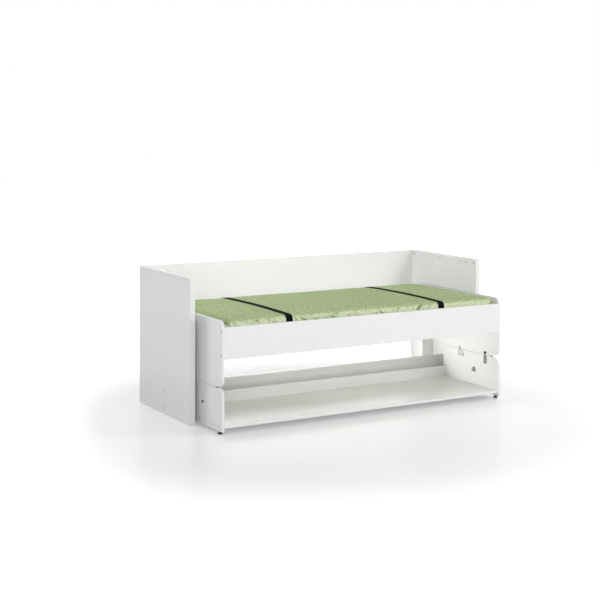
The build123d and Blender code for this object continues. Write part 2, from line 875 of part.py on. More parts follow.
# Bolts that join the arms to the desk ends, with spacers between
bolt_head_x = arm_outer_x + face_clearance
with BuildPart() as level_bolts:
    rod(desk_outer_x - level_bolt_grip, bolt_head_x, arm_pin, level_bolt_place)
    rod(bolt_head_x, bolt_head_x + bolt_head_height, bolt_head, level_bolt_place)
    mirror(about=Plane.YZ)
write(level_bolts.part, "level_bolts")

with BuildPart() as arm_spacers:
    spacer_bore = arm_pin + 2 * screw_play
    rod(desk_outer_x, arm_inner_x - face_clearance, arm_boss, level_bolt_place)
    rod(desk_outer_x - overrun, arm_inner_x + overrun, spacer_bore, level_bolt_place, Mode.SUBTRACT)
    mirror(about=Plane.YZ)
write(arm_spacers.part, "arm_spacers")

# Knobs inside the desk ends, on bolts whose heads are outside
knob_face_x = desk_inner_x - knob_height
with BuildPart() as knob_bolts:
    rod(knob_face_x + knob_wall + face_clearance, desk_outer_x, knob_bolt, knob_place)
    rod(desk_outer_x, desk_outer_x + knob_bolt_head_height, knob_bolt_head, knob_place)
    mirror(about=Plane.YZ)
write(knob_bolts.part, "knob_bolts")

with BuildPart() as knobs:
    rod(knob_face_x, desk_inner_x, knob_diameter, knob_place)
    with BuildSketch(Plane.YZ.offset(knob_face_x)):
        with Locations((behind(knob_depth), knob_rise)):
            with PolarLocations(knob_diameter / 2, knob_groove_count, knob_turn):
                Circle(knob_groove / 2)
    extrude(amount=knob_height, mode=Mode.SUBTRACT)
    rod(knob_face_x + knob_wall, desk_inner_x + overrun, knob_bore, knob_place, Mode.SUBTRACT)
    mirror(about=Plane.YZ)
write(knobs.part, "knobs")
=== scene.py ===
"""Looks for the multifunction bed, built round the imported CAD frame. Units are metres."""

import json
import math

import bmesh
import bpy
import numpy as np
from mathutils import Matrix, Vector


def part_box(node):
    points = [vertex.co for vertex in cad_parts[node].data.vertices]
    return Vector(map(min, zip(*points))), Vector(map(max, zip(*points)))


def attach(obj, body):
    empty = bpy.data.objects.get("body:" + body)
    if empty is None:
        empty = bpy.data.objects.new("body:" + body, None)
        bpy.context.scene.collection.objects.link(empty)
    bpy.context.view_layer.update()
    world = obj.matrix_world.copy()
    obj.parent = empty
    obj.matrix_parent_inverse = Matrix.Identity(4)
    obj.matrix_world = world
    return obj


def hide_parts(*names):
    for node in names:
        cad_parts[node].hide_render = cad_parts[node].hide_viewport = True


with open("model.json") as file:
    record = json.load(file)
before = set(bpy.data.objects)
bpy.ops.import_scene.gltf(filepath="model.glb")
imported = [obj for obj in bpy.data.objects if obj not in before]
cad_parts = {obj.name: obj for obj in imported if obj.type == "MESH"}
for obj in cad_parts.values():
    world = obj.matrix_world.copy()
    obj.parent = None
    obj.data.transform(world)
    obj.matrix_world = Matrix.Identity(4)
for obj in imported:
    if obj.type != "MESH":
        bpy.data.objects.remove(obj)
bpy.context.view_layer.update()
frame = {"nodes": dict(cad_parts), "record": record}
nodes = frame["nodes"]

# Camera, as fitted to the long edges of the boards
IMAGE_PIXELS = 600
FOCAL_PIXELS = 1305.6
HORIZON_PIXEL = 120.6
SENSOR_WIDTH = 36.0
CAMERA_PLACE = (-4.385, -7.332, 1.827)
CAMERA_TURN = math.radians(-29.77)

# Light: floor and world, and each lamp's name, place, aim, size, power and, where it is narrow, the
# width of its beam in degrees
FLOOR_HALF = 30.0
FLOOR_COLOUR = 0.80
FLOOR_ROUGHNESS = 0.3
FLOOR_GLOW_NEAR = 0.25
FLOOR_GLOW_FAR = 0.75
FLOOR_GLOW_MIDDLE = (-0.2, -0.4, 0.0)
FLOOR_GLOW_REACH = (1.3, 2.8)
WORLD_LIGHT = 0.30
LAMPS = (
    ("key_lamp", (4.26, -2.98, 5.08), (0.0, 0.0, 0.4), (2.6, 2.6), 122),
    ("right_front_lamp", (2.89, -6.21, 1.86), (0.0, 0.0, 0.4), (2.6, 2.6), 90),
    ("left_front_lamp", (-3.93, -5.61, 1.86), (0.0, 0.0, 0.4), (2.6, 2.6), 84),
    ("left_rear_lamp", (-4.65, 5.16, 1.25), (0.0, 0.0, 0.4), (1.2, 1.6), 50),
    ("rear_lamp", (-0.61, 6.92, 1.25), (0.0, 0.0, 0.4), (2.6, 2.6), 100),
    ("over_lamp", (-1.0, 0.0, 2.2), (1.0, 0.1, 0.7), (1.2, 1.2), 9),
    ("low_rear_lamp", (0.0, 0.526, 0.27), (0.0, 0.0, 0.27), (2.0, 0.44), 1.7),
    ("under_lamp", (-0.80, 0.34, 0.33), (1.0, -0.15, 0.26), (0.25, 0.16), 1.1, 55),
    ("back_panel_lamp", (0.0, -2.6, 1.25), (0.0, 0.52, 0.79), (2.0, 0.15), 0.27, 12),
    ("right_end_lamp", (-2.5, -0.2, 2.0), (1.05, 0.1, 0.79), (0.5, 0.2), 0.2, 14),
)

# Mattress cover
COVER_STEP = 0.0125
COVER_TOP_RADIUS = 0.024
COVER_FOOT_RADIUS = 0.014
COVER_PLAN_RADIUS = 0.042
COVER_CROWN = 0.009
COVER_CROWN_FALL = 0.4
COVER_DRAW = 0.006
COVER_PUFF = 0.0045
COVER_SIDE_PUFF = 0.0012
COVER_END_LENGTH = 0.058
COVER_END_DROP = 0.012
COVER_UPPER_FOOT = -0.02
PUFF_END_SHARE = 0.86
DRAW_START_SHARE = 0.6
WAVE_HEIGHT = 0.0011
WAVES = ((9.0, 2.0, 0.0), (-3.0, 7.0, 1.3))
END_PULL = 0.015
END_PULL_LENGTH = 0.09
STRAP_HOLD = 0.026
STRAP_EASE = 0.10

# Loose cloth of the cover: spare length, hold on the filling, how far a point may move, the width
# of the rim that is held less and the height of the underside that is held fast
CLOTH_SPARE = 0.012
CLOTH_PRESSURE = 4.0
CLOTH_FRAMES = 20
CLOTH_HOLD_TOP = 0.55
CLOTH_HOLD_SIDE = 0.35
CLOTH_HOLD_LEVELS = 100
CLOTH_CAP = 0.007
CLOTH_RIM = 0.09
CLOTH_UNDERSIDE = 0.012

# Creases over the edges of the cover: how far apart they are, and the least and greatest slant,
# half length, half width, way down from the edge, depth and share of that depth. Their lean turns
# over within CREASE_TURN, and a crease ends CREASE_FAR half lengths from its middle. Each long one
# has its place along the front edge, then its own five of these sizes
CREASE_SEED = 7
CREASE_SPACING = 0.018
CREASE_TURN = (-0.15, 0.35)
CREASE_SLANT = (0.5, 1.1)
CREASE_HALF_LENGTH = (0.012, 0.034)
CREASE_HALF_WIDTH = (0.0055, 0.0095)
CREASE_DROP = (0.004, 0.040)
CREASE_DEPTH = (0.0010, 0.0060)
CREASE_DEPTH_SHARE = (0.3, 1)
CREASE_FAR = 4
LONG_CREASES = (
    (0.395, -0.80, 0.038, 0.0055, 0.012, 0.011),
    (-0.45, 0.45, 0.030, 0.006, 0.030, 0.007),
    (-0.66, 0.65, 0.020, 0.006, 0.034, 0.006),
)

# Tuck along the upper edges of the cover's ends, the painted shadow line just below them, the depth
# at which a crease's painted shade is darkest, and how level the cover is where its sides begin,
# and over what change
END_TUCK = 0.003
END_TUCK_REACH = 0.022
END_SHADE_DROP = 0.010
END_SHADE_REACH = 0.009
SHADED_DEPTH = 0.007
TOP_TILT = 0.85
SIDE_BLEND = 0.5

# Straps, with the numbers of points along their upright, bend and top and round their rim
STRAP_WIDTH = 0.046
STRAP_THICKNESS = 0.0018
STRAP_CLEARANCE = 0.0004
STRAP_BEND = 0.026
STRAP_RISE_POINTS = 14
STRAP_BEND_POINTS = 10
STRAP_TOP_POINTS = 60
RIM_ROUND_POINTS = 5
RIM_FLAT_POINTS = 9

# Colours and patterns of the cloths: scales are in waves or threads per metre
COVER_DARK = (0.355, 0.47, 0.20)
COVER_LIGHT = (0.69, 0.775, 0.475)
# Paler colour of the sides, partly painted sheen, laid on the puckers' ridges as a painted
# highlight
COVER_PALE_PAINTED_SHEEN = (0.80, 0.87, 0.61)
# Painted shade for the creases and the ends' upper edges
COVER_PAINTED_SHADE = (0.13, 0.18, 0.06)
HEATHER_DARK = (0.80, 0.83, 0.74)
HEATHER_SHARE = 0.5
MOTTLE_SCALE = 62
MOTTLE_HEIGHT = 3.0
HEATHER_SCALE = 640
PUCKER_SCALE = 72
PUCKER_STRETCH = 5
PUCKER_TURNS = (0.75, -0.65)
PUCKER_CHANGE = (-0.1, 0.25)
PUCKER_HEIGHT = 9.0
COVER_THREADS = 700
WEBBING_THREADS = 620

# Where most of a noise texture's values lie
NOISE_RANGE = (0.3, 0.7)

# How near points are merged, and the least length that is divided by
MERGE_DISTANCE = 1e-6
TINY = 1e-9


def smooth(low, high, x):
    """0 below low, 1 above high and 3t^2 - 2t^3 between them."""
    t = np.clip((x - low) / (high - low), 0, 1)
    return t * t * (3 - 2 * t)


def new_piece(name, points, faces, material, body):
    """A smooth-shaded mesh from an array of points and an array of four-cornered faces."""
    mesh = bpy.data.meshes.new(name)
    mesh.from_pydata(points.tolist(), [], faces.tolist())
    mesh.polygons.foreach_set("use_smooth", np.ones(len(faces), dtype=bool))
    mesh.materials.append(material)
    mesh.update()
    piece = bpy.data.objects.new(name, mesh)
    bpy.context.scene.collection.objects.link(piece)
    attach(piece, body)
    return piece


def grid_faces(rows, columns):
    """Faces of a grid of rows by columns points, numbered row by row."""
    corner = (np.arange(rows - 1)[:, None] * columns + np.arange(columns - 1)[None, :]).ravel()
    return np.stack([corner, corner + 1, corner + columns + 1, corner + columns], axis=1)


# Shader helpers


def new_material(name):
    """A node material with its Principled shader and its Material Output."""
    material = bpy.data.materials.new(name)
    material.use_nodes = True
    return material, material.node_tree, material.node_tree.nodes["Principled BSDF"]


def link(tree, source, target):
    """Joins two sockets."""
    tree.links.new(source, target)


def put(tree, value, target):
    """Gives a socket its value: another socket, a colour or a number."""
    if isinstance(value, bpy.types.NodeSocket):
        link(tree, value, target)
    elif isinstance(value, tuple):
        target.default_value = (*value, 1)
    else:
        target.default_value = value


def object_place(tree):
    """The piece's own coordinates, in metres."""
    return tree.nodes.new("ShaderNodeTexCoord").outputs["Object"]


def noise(tree, place, scale, detail=3.0, roughness=0.5):
    """A noise texture read at this place, whose scale is in waves per metre."""
    node = tree.nodes.new("ShaderNodeTexNoise")
    node.inputs["Scale"].default_value = scale
    node.inputs["Detail"].default_value = detail
    node.inputs["Roughness"].default_value = roughness
    link(tree, place, node.inputs["Vector"])
    return node.outputs["Fac"]


def spread(tree, value, low, high, to_low, to_high):
    """Carries a value from low..high to to_low..to_high."""
    node = tree.nodes.new("ShaderNodeMapRange")
    for socket, number in zip(node.inputs[1:5], (low, high, to_low, to_high)):
        socket.default_value = number
    link(tree, value, node.inputs["Value"])
    return node.outputs["Result"]


def blend_colours(tree, share, first, second, blend="MIX"):
    """Mixes two colours by a share between 0 and 1. Each may be a socket."""
    node = tree.nodes.new("ShaderNodeMix")
    node.data_type = "RGBA"
    node.blend_type = blend
    put(tree, share, node.inputs["Factor"])
    put(tree, first, node.inputs["A"])
    put(tree, second, node.inputs["B"])
    return node.outputs["Result"]


def arithmetic(tree, operation, first, second):
    """One Math node on two sockets or numbers. A sine leaves the second unused."""
    node = tree.nodes.new("ShaderNodeMath")
    node.operation = operation
    for socket, value in zip(node.inputs, (first, second)):
        put(tree, value, socket)
    return node.outputs["Value"]


def bump(tree, height, distance, shader):
    """Raises the surface by height times distance, as light sees it."""
    node = tree.nodes.new("ShaderNodeBump")
    node.inputs["Distance"].default_value = distance
    link(tree, height, node.inputs["Height"])
    link(tree, node.outputs["Normal"], shader.inputs["Normal"])


def pebble_group():
    """Fine pebbled face of melamine, paint and moulded plastic: a height and a faint shade mask."""
    group = bpy.data.node_groups.new("pebbled face", "ShaderNodeTree")
    group.interface.new_socket("Place", in_out="INPUT", socket_type="NodeSocketVector")
    group.interface.new_socket("Grains per metre", in_out="INPUT", socket_type="NodeSocketFloat")
    group.interface.new_socket("Height", in_out="OUTPUT", socket_type="NodeSocketFloat")
    group.interface.new_socket("Shade", in_out="OUTPUT", socket_type="NodeSocketFloat")
    entry = group.nodes.new("NodeGroupInput")
    leave = group.nodes.new("NodeGroupOutput")
    fine = group.nodes.new("ShaderNodeTexNoise")
    fine.inputs["Detail"].default_value = 2.0
    broad = group.nodes.new("ShaderNodeTexNoise")
    broad.inputs["Scale"].default_value = 2.3
    broad.inputs["Detail"].default_value = 3.0
    link(group, entry.outputs["Place"], fine.inputs["Vector"])
    link(group, entry.outputs["Place"], broad.inputs["Vector"])
    link(group, entry.outputs["Grains per metre"], fine.inputs["Scale"])
    link(group, fine.outputs["Fac"], leave.inputs["Height"])
    link(group, broad.outputs["Fac"], leave.inputs["Shade"])
    return group


def weave_group():
    """Plain weave: the product of two sine waves, one along the cloth and one across it, carried
    to 0 to 1."""
    group = bpy.data.node_groups.new("plain weave", "ShaderNodeTree")
    group.interface.new_socket("Along", in_out="INPUT", socket_type="NodeSocketFloat")
    group.interface.new_socket("Across", in_out="INPUT", socket_type="NodeSocketFloat")
    group.interface.new_socket("Threads per metre", in_out="INPUT", socket_type="NodeSocketFloat")
    group.interface.new_socket("Height", in_out="OUTPUT", socket_type="NodeSocketFloat")
    entry = group.nodes.new("NodeGroupInput")
    leave = group.nodes.new("NodeGroupOutput")
    waves = []
    threads = entry.outputs["Threads per metre"]
    for side in ("Along", "Across"):
        angle = arithmetic(group, "MULTIPLY", entry.outputs[side], threads)
        angle = arithmetic(group, "MULTIPLY", angle, math.pi)
        waves.append(arithmetic(group, "SINE", angle, 0))
    product = arithmetic(group, "MULTIPLY", waves[0], waves[1])
    height = arithmetic(group, "MULTIPLY_ADD", product, 0.5)
    height.node.inputs[2].default_value = 0.5
    link(group, height, leave.inputs["Height"])
    return group


PEBBLES = pebble_group()
WEAVE = weave_group()


def pebbled(tree, grains):
    """The pebbled face in this material, as (height, shade)."""
    node = tree.nodes.new("ShaderNodeGroup")
    node.node_tree = PEBBLES
    node.inputs["Grains per metre"].default_value = grains
    link(tree, object_place(tree), node.inputs["Place"])
    return node.outputs["Height"], node.outputs["Shade"]


def woven(tree, threads, along, across):
    """The height of a plain weave in this material, with these threads per metre."""
    node = tree.nodes.new("ShaderNodeGroup")
    node.node_tree = WEAVE
    node.inputs["Threads per metre"].default_value = threads
    link(tree, along, node.inputs["Along"])
    link(tree, across, node.inputs["Across"])
    return node.outputs["Height"]


def apart(tree, place):
    """The X, Y and Z of a place."""
    node = tree.nodes.new("ShaderNodeSeparateXYZ")
    link(tree, place, node.inputs["Vector"])
    return node.outputs["X"], node.outputs["Y"], node.outputs["Z"]


def point_value(tree, name):
    """A value from 0 to 1 that the piece's own points carry under this name."""
    node = tree.nodes.new("ShaderNodeAttribute")
    node.attribute_name = name
    return node.outputs["Fac"]


def faced_material(name, light, dark, roughness, grains, relief):
    """A plain finish: faint shade changes, a little roughness change and a pebbled relief."""
    material, tree, shader = new_material(name)
    height, shade = pebbled(tree, grains)
    colour = blend_colours(tree, spread(tree, shade, *NOISE_RANGE, 0, 1), dark, light)
    link(tree, colour, shader.inputs["Base Color"])
    rough = spread(tree, shade, *NOISE_RANGE, roughness * 1.12, roughness * 0.88)
    link(tree, rough, shader.inputs["Roughness"])
    bump(tree, height, relief, shader)
    return material


def zinc_material():
    """Dull dark zinc on screws and bolts: metal with a mottle and a very fine grain."""
    material, tree, shader = new_material("zinc")
    place = object_place(tree)
    mottle = noise(tree, place, scale=420, detail=4, roughness=0.6)
    colour = blend_colours(tree, mottle, (0.09, 0.09, 0.09), (0.16, 0.16, 0.17))
    link(tree, colour, shader.inputs["Base Color"])
    link(tree, spread(tree, mottle, *NOISE_RANGE, 0.36, 0.50), shader.inputs["Roughness"])
    shader.inputs["Metallic"].default_value = 1.0
    bump(tree, noise(tree, place, scale=2600), 0.00003, shader)
    return material


def slat_material():
    """Planed pale softwood whose grain runs along Y: bands and pores of stretched noise."""
    material, tree, shader = new_material("slat wood")
    stretch = tree.nodes.new("ShaderNodeMapping")
    stretch.inputs["Scale"].default_value = (1.0, 0.05, 1.0)
    link(tree, object_place(tree), stretch.inputs["Vector"])
    bands = noise(tree, stretch.outputs["Vector"], scale=130, detail=5, roughness=0.6)
    pores = noise(tree, stretch.outputs["Vector"], scale=900, detail=2)
    colour = blend_colours(
        tree, spread(tree, bands, 0.35, 0.68, 0, 1), (0.76, 0.69, 0.57), (0.86, 0.81, 0.71)
    )
    link(tree, colour, shader.inputs["Base Color"])
    link(tree, spread(tree, pores, *NOISE_RANGE, 0.5, 0.66), shader.inputs["Roughness"])
    bump(tree, pores, 0.0001, shader)
    return material


def slanted_noise(tree, place, turn):
    """Noise drawn out along a line that is turned this much from upright, as fine puckers lie."""
    mapping = tree.nodes.new("ShaderNodeMapping")
    mapping.vector_type = "TEXTURE"
    mapping.inputs["Rotation"].default_value = (0, turn, 0)
    mapping.inputs["Scale"].default_value = (1, 1, PUCKER_STRETCH)
    link(tree, place, mapping.inputs["Vector"])
    return noise(tree, mapping.outputs["Vector"], PUCKER_SCALE, roughness=0.6)


def cover_material():
    """Light green heathered cover: mottled yarn colours over a fine weave. Its sides are paler,
    partly as painted sheen, with fine slanted puckers that lean one way on the left and the other
    way on the right; the pale lies on the puckers' ridges as a painted highlight, and their hollows
    stay greener as painted shade. Painted shade darkens its creases and the upper edges of its
    ends."""
    material, tree, shader = new_material("green cover")
    place = object_place(tree)
    x, y, z = apart(tree, place)
    upright = point_value(tree, "side")
    mottle = noise(tree, place, MOTTLE_SCALE, detail=5, roughness=0.72)
    heather = noise(tree, place, HEATHER_SCALE, detail=2)
    right = spread(tree, x, *PUCKER_CHANGE, 0, 1)
    left = arithmetic(tree, "SUBTRACT", 1.0, right)
    forward, backward = (
        arithmetic(tree, "MULTIPLY", slanted_noise(tree, place, turn), share)
        for turn, share in zip(PUCKER_TURNS, (right, left))
    )
    pucker = arithmetic(tree, "ADD", forward, backward)
    colour = blend_colours(tree, spread(tree, mottle, 0.36, 0.64, 0, 1), COVER_DARK, COVER_LIGHT)
    # Painted highlight on the pucker ridges of the sides; their hollows keep the darker green as
    # painted shade
    painted_pucker_highlight = arithmetic(tree, "MULTIPLY", spread(tree, pucker, 0.36, 0.50, 0.1, 1.0), upright)
    colour = blend_colours(tree, painted_pucker_highlight, colour, COVER_PALE_PAINTED_SHEEN)
    yarn = spread(tree, heather, *NOISE_RANGE, 0, 1)
    shade = blend_colours(tree, yarn, HEATHER_DARK, (1.0, 1.0, 1.0))
    colour = blend_colours(tree, HEATHER_SHARE, colour, shade, "MULTIPLY")
    # Painted shade: the cover darkens towards this colour in its creases and along its ends' upper
    # edges
    deep = spread(tree, point_value(tree, "painted_shade"), 0.2, 1.0, 0, 0.8)
    link(tree, blend_colours(tree, deep, colour, COVER_PAINTED_SHADE), shader.inputs["Base Color"])
    shader.inputs["Roughness"].default_value = 0.82
    shader.inputs["Specular IOR Level"].default_value = 0.2
    weave = woven(tree, COVER_THREADS, x, arithmetic(tree, "ADD", y, z))
    mounds = arithmetic(tree, "MULTIPLY", mottle, MOTTLE_HEIGHT)
    puckers = arithmetic(tree, "MULTIPLY", pucker, upright)
    puckers = arithmetic(tree, "MULTIPLY", puckers, PUCKER_HEIGHT)
    height = arithmetic(tree, "ADD", arithmetic(tree, "ADD", weave, mounds), puckers)
    bump(tree, height, 0.0006, shader)
    return material


def webbing_material():
    """Black webbing: a woven face from the strap's UV map, a little paler in patches, and dull."""
    material, tree, shader = new_material("black webbing")
    uv = tree.nodes.new("ShaderNodeUVMap")
    uv.uv_map = "strap"
    along, across, _ = apart(tree, uv.outputs["UV"])
    weave = woven(tree, WEBBING_THREADS, along, across)
    mottle = noise(tree, object_place(tree), scale=160)
    share = arithmetic(tree, "MULTIPLY", weave, mottle)
    colour = blend_colours(tree, share, (0.001, 0.001, 0.001), (0.006, 0.006, 0.006))
    link(tree, colour, shader.inputs["Base Color"])
    link(tree, spread(tree, mottle, *NOISE_RANGE, 0.74, 0.86), shader.inputs["Roughness"])
    shader.inputs["Specular IOR Level"].default_value = 0.08
    bump(tree, weave, 0.0004, shader)
    return material


MATERIALS = {
    "white_board": faced_material(
        "white melamine", (0.925, 0.925, 0.922), (0.905, 0.906, 0.906), 0.20, 1100, 0.00002
    ),
    "white_steel": faced_material(
        "white paint", (0.84, 0.84, 0.835), (0.81, 0.81, 0.81), 0.34, 900, 0.00004
    ),
    "grey_steel": faced_material(
        "grey paint", (0.50, 0.51, 0.52), (0.42, 0.43, 0.44), 0.36, 900, 0.00005
    ),
    "black_plastic": faced_material(
        "black plastic", (0.018, 0.018, 0.019), (0.010, 0.010, 0.011), 0.50, 1500, 0.00008
    ),
    "grey_plastic": faced_material(
        "grey plastic", (0.30, 0.30, 0.31), (0.24, 0.24, 0.25), 0.46, 1500, 0.00008
    ),
    "zinc_steel": zinc_material(),
    "slat_wood": slat_material(),
    "green_fabric": cover_material(),
    "black_webbing": webbing_material(),
}

for subpart in frame["record"]["subparts"]:
    for slot in nodes[subpart["node"]].material_slots:
        slot.material = MATERIALS[subpart["material_slot"]]


# Mattress cover

cover_low, cover_high = (np.array(corner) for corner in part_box("mattress"))
strap_low, strap_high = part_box("strap_right")
cover_half = (cover_high - cover_low) / 2
cover_half[2] -= COVER_CROWN / 2
cover_middle = (cover_high + cover_low) / 2
cover_middle[2] = cover_low[2] + cover_half[2]
strap_middle = (strap_low[0] + strap_high[0]) / 2


def box_grid(half, step):
    """Points and faces of a box's six sides, each a grid of squares of about this step."""
    counts = [max(2, int(round(2 * size / step))) for size in half]
    points = []
    faces = []
    total = 0
    for axis in range(3):
        first, second = [other for other in range(3) if other != axis]
        a = np.linspace(-half[first], half[first], counts[first] + 1)
        b = np.linspace(-half[second], half[second], counts[second] + 1)
        for side in (-1, 1):
            sheet = np.zeros((len(a), len(b), 3))
            sheet[..., first] = a[:, None]
            sheet[..., second] = b[None, :]
            sheet[..., axis] = side * half[axis]
            quads = grid_faces(len(a), len(b))
            outward = side if axis != 1 else -side
            faces.append((quads if outward > 0 else quads[:, ::-1]) + total)
            points.append(sheet.reshape(-1, 3))
            total += len(points[-1])
    return np.concatenate(points), np.concatenate(faces)


def strap_ease(x):
    """0 under the straps and 1 away from them."""
    reach = np.abs(np.abs(x) - strap_middle)
    return smooth(STRAP_HOLD, STRAP_HOLD + STRAP_EASE, reach)


def near_end(x, length):
    """1 at the mattress's ends and 0 beyond this length from them."""
    return smooth(cover_half[0] - length, cover_half[0], np.abs(x))


def crown_height(share, out):
    """Height of the crown at these shares of the cover's half length and half width."""
    return COVER_CROWN * (1 - COVER_CROWN_FALL * share**2) * (1 - out**2)


def cover_points(flat):
    """The cover's shape from points on a plain box. Each point goes to the nearest place of a box
    with rounded edges. A parabola crowns the top and another draws in the long sides, both swell
    between the straps, two crossed sine waves make the top uneven, and the ends sink and are
    pulled in from the boards beside them."""
    radii = np.empty_like(flat)
    radii[:, 0] = COVER_PLAN_RADIUS
    radii[:, 1] = COVER_TOP_RADIUS
    radii[:, 2] = np.where(flat[:, 2] > 0, COVER_TOP_RADIUS, COVER_FOOT_RADIUS)
    inner = np.clip(flat, radii - cover_half, cover_half - radii)
    out = (flat - inner) / radii
    out /= np.maximum(np.linalg.norm(out, axis=1, keepdims=True), TINY)
    x, y, z = (inner + radii * out).T
    share = np.clip(np.abs(x) / (cover_half[0] - COVER_PLAN_RADIUS), 0, 1)
    ease = strap_ease(x)
    upper = smooth(COVER_UPPER_FOOT, cover_half[2], z)
    crown = crown_height(share, y / cover_half[1])
    puff = COVER_PUFF * ease * (1 - (y / cover_half[1]) ** 4)
    puff = puff * (1 - smooth(PUFF_END_SHARE, 1, share))
    first, second = (np.sin(per_x * x + per_y * y + start) for per_x, per_y, start in WAVES)
    wave = WAVE_HEIGHT * first * second * ease
    z = z + upper * (crown + puff + wave)
    z = z - COVER_END_DROP * near_end(x, COVER_END_LENGTH) * upper
    draw = COVER_DRAW * (1 - share**2) - COVER_SIDE_PUFF * ease * upper
    y = y - np.sign(y) * draw * smooth(DRAW_START_SHARE, 1, np.abs(y) / cover_half[1])
    x = x - np.sign(x) * END_PULL * near_end(x, END_PULL_LENGTH) * upper
    return np.stack([x, y, z], axis=1)


def read_points(mesh, field="co"):
    """A mesh's points, or its point normals, as an array of rows."""
    rows = np.empty((len(mesh.vertices), 3))
    mesh.vertices.foreach_get(field, rows.ravel())
    return rows


def write_points(mesh, rows):
    """Puts an array of rows back as a mesh's points."""
    mesh.vertices.foreach_set("co", rows.ravel())
    mesh.update()


def merge_points(piece):
    """Merges the points that neighbouring grids of a piece share, and fills any open end."""
    work = bmesh.new()
    work.from_mesh(piece.data)
    bmesh.ops.remove_doubles(work, verts=work.verts, dist=MERGE_DISTANCE)
    bmesh.ops.holes_fill(work, edges=[edge for edge in work.edges if edge.is_boundary], sides=0)
    bmesh.ops.recalc_face_normals(work, faces=work.faces)
    work.to_mesh(piece.data)
    work.free()


def loosen(cover):
    """Lets the cover's cloth, a little longer than the filling, settle into soft folds. Springs
    hold it to the filling, it is fast under the straps and below, and no point moves beyond a
    cap."""
    start = read_points(cover.data)
    x, y, z = (start - cover_middle).T
    rim = np.maximum(np.abs(x) - cover_half[0] + CLOTH_RIM, np.abs(y) - cover_half[1] + CLOTH_RIM)
    hold = CLOTH_HOLD_TOP + (CLOTH_HOLD_SIDE - CLOTH_HOLD_TOP) * np.clip(rim / CLOTH_RIM, 0, 1)
    under = z < CLOTH_UNDERSIDE - cover_half[2]
    hold[under | (np.abs(np.abs(x) - strap_middle) < STRAP_HOLD)] = 1.0
    levels = np.rint(hold * CLOTH_HOLD_LEVELS)
    group = cover.vertex_groups.new(name="hold")
    for level in np.unique(levels):
        members = np.flatnonzero(levels == level)
        group.add(members.tolist(), level / CLOTH_HOLD_LEVELS, "REPLACE")
    cloth = cover.modifiers.new("cloth", "CLOTH")
    settings = cloth.settings
    settings.quality = 5
    settings.mass = 0.3
    settings.tension_stiffness = 20
    settings.compression_stiffness = 20
    settings.shear_stiffness = 8
    settings.bending_stiffness = 0.4
    settings.use_pressure = True
    settings.uniform_pressure_force = CLOTH_PRESSURE
    settings.shrink_min = -CLOTH_SPARE
    settings.vertex_group_mass = "hold"
    settings.effector_weights.gravity = 0
    cloth.point_cache.frame_start = 1
    cloth.point_cache.frame_end = CLOTH_FRAMES
    for frame_number in range(1, CLOTH_FRAMES + 1):
        bpy.context.scene.frame_set(frame_number)
    settled = cover.evaluated_get(bpy.context.evaluated_depsgraph_get())
    move = read_points(settled.data) - start
    length = np.linalg.norm(move, axis=1, keepdims=True)
    capped = CLOTH_CAP * np.tanh(length / CLOTH_CAP) / np.maximum(length, TINY)
    cover.modifiers.clear()
    cover.vertex_groups.clear()
    bpy.context.scene.frame_set(1)
    write_points(cover.data, start + move * capped)


def refine(cover):
    """Divides every face of the cover into four, smoothly."""
    divide = cover.modifiers.new("divide", "SUBSURF")
    divide.levels = 1
    divide.render_levels = 1
    settled = cover.evaluated_get(bpy.context.evaluated_depsgraph_get())
    mesh = bpy.data.meshes.new_from_object(settled)
    cover.modifiers.clear()
    old = cover.data
    cover.data = mesh
    bpy.data.meshes.remove(old)


def valley(along, drop, middle, slant, reach, width, low, deep):
    """Depth of one crease: a bell across its slanted line times a longer bell along it. Its middle
    lies low from the edge."""
    away = along - middle
    down = drop - low
    way = away * math.cos(slant) + down * math.sin(slant)
    across = -away * math.sin(slant) + down * math.cos(slant)
    return deep * np.exp(-((way / reach) ** 2) - (across / width) ** 2)


def crease_depth(along, drop, rng, edge_length):
    """Sum of short slanted creases over an edge of the cover, at these ways along the edge and down
    from it."""
    depth = np.zeros_like(along)
    count = int(edge_length / CREASE_SPACING)
    middles = np.linspace(-edge_length / 2, edge_length / 2, count)
    middles = middles + rng.normal(0, CREASE_SPACING, count)
    leans = np.where(rng.uniform(0, 1, count) < smooth(*CREASE_TURN, middles), -1, 1)
    slants = leans * rng.uniform(*CREASE_SLANT, count)
    reaches = rng.uniform(*CREASE_HALF_LENGTH, count)
    widths = rng.uniform(*CREASE_HALF_WIDTH, count)
    lows = rng.uniform(*CREASE_DROP, count)
    depths = rng.uniform(*CREASE_DEPTH, count) * rng.uniform(*CREASE_DEPTH_SHARE, count)
    for row in zip(middles, slants, reaches, widths, lows, depths):
        middle, _, reach, *_ = row
        near = np.flatnonzero(np.abs(along - middle) < CREASE_FAR * reach)
        depth[near] += valley(along[near], drop[near], *row)
    return depth


def keep_on_points(mesh, name, values):
    """Keeps an array of values, cut to 0 to 1, as an attribute of a mesh's points."""
    attribute = mesh.attributes.new(name, "FLOAT", "POINT")
    attribute.data.foreach_set("value", np.clip(values, 0, 1))


